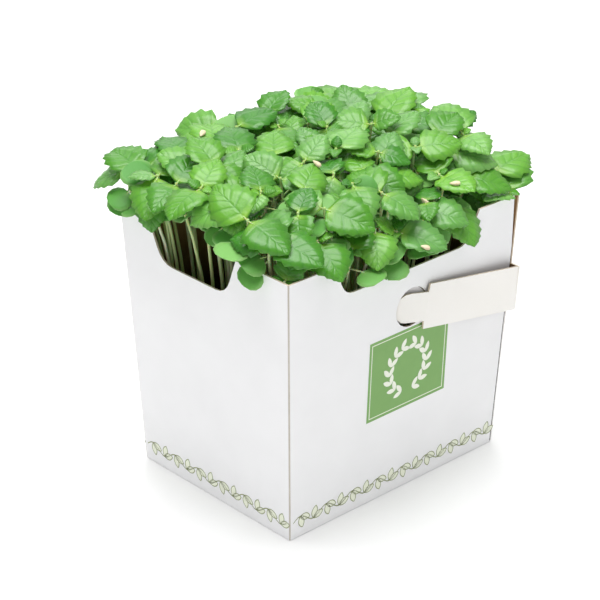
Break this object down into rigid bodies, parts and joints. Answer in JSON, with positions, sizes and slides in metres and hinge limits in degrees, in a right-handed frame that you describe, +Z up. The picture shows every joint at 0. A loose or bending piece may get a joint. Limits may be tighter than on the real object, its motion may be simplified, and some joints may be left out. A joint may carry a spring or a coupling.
{
  "type": "microgreens tray",
  "caption": "Tall folded board carton with notched rims and a locking strap, holding a dense crop of two-leaved seedlings in a soil-filled liner.",
  "frame": {"origin": "middle of the carton's underside, where it rests", "axes": "+Z up, -Y out of the front wall with the slot and strap, +X along the front to the strap's corner"},
  "size_m": [0.1533, 0.1226, 0.1403],
  "materials": {
    "printed_board": "matte",
    "black_plastic": "satin",
    "soil": "matte",
    "sprouts": "satin"
  },
  "bodies": {
    "root": {"carton": "printed_board", "grow_tray": "black_plastic", "soil": "soil", "sprouts_01": "sprouts", "sprouts_02": "sprouts", "sprouts_03": "sprouts", "sprouts_04": "sprouts", "sprouts_05": "sprouts", "sprouts_06": "sprouts", "sprouts_07": "sprouts", "sprouts_08": "sprouts", "sprouts_09": "sprouts", "sprouts_10": "sprouts", "sprouts_11": "sprouts", "sprouts_12": "sprouts", "sprouts_13": "sprouts", "sprouts_14": "sprouts", "sprouts_15": "sprouts", "sprouts_16": "sprouts", "sprouts_17": "sprouts", "sprouts_18": "sprouts", "sprouts_19": "sprouts", "sprouts_20": "sprouts", "sprouts_21": "sprouts", "sprouts_22": "sprouts", "sprouts_23": "sprouts", "sprouts_24": "sprouts", "sprouts_25": "sprouts", "sprouts_26": "sprouts", "sprouts_27": "sprouts", "sprouts_28": "sprouts", "sprouts_29": "sprouts", "sprouts_30": "sprouts", "sprouts_31": "sprouts", "sprouts_32": "sprouts", "sprouts_33": "sprouts", "sprouts_34": "sprouts", "sprouts_35": "sprouts", "sprouts_36": "sprouts"}
  },
  "joints": []
}
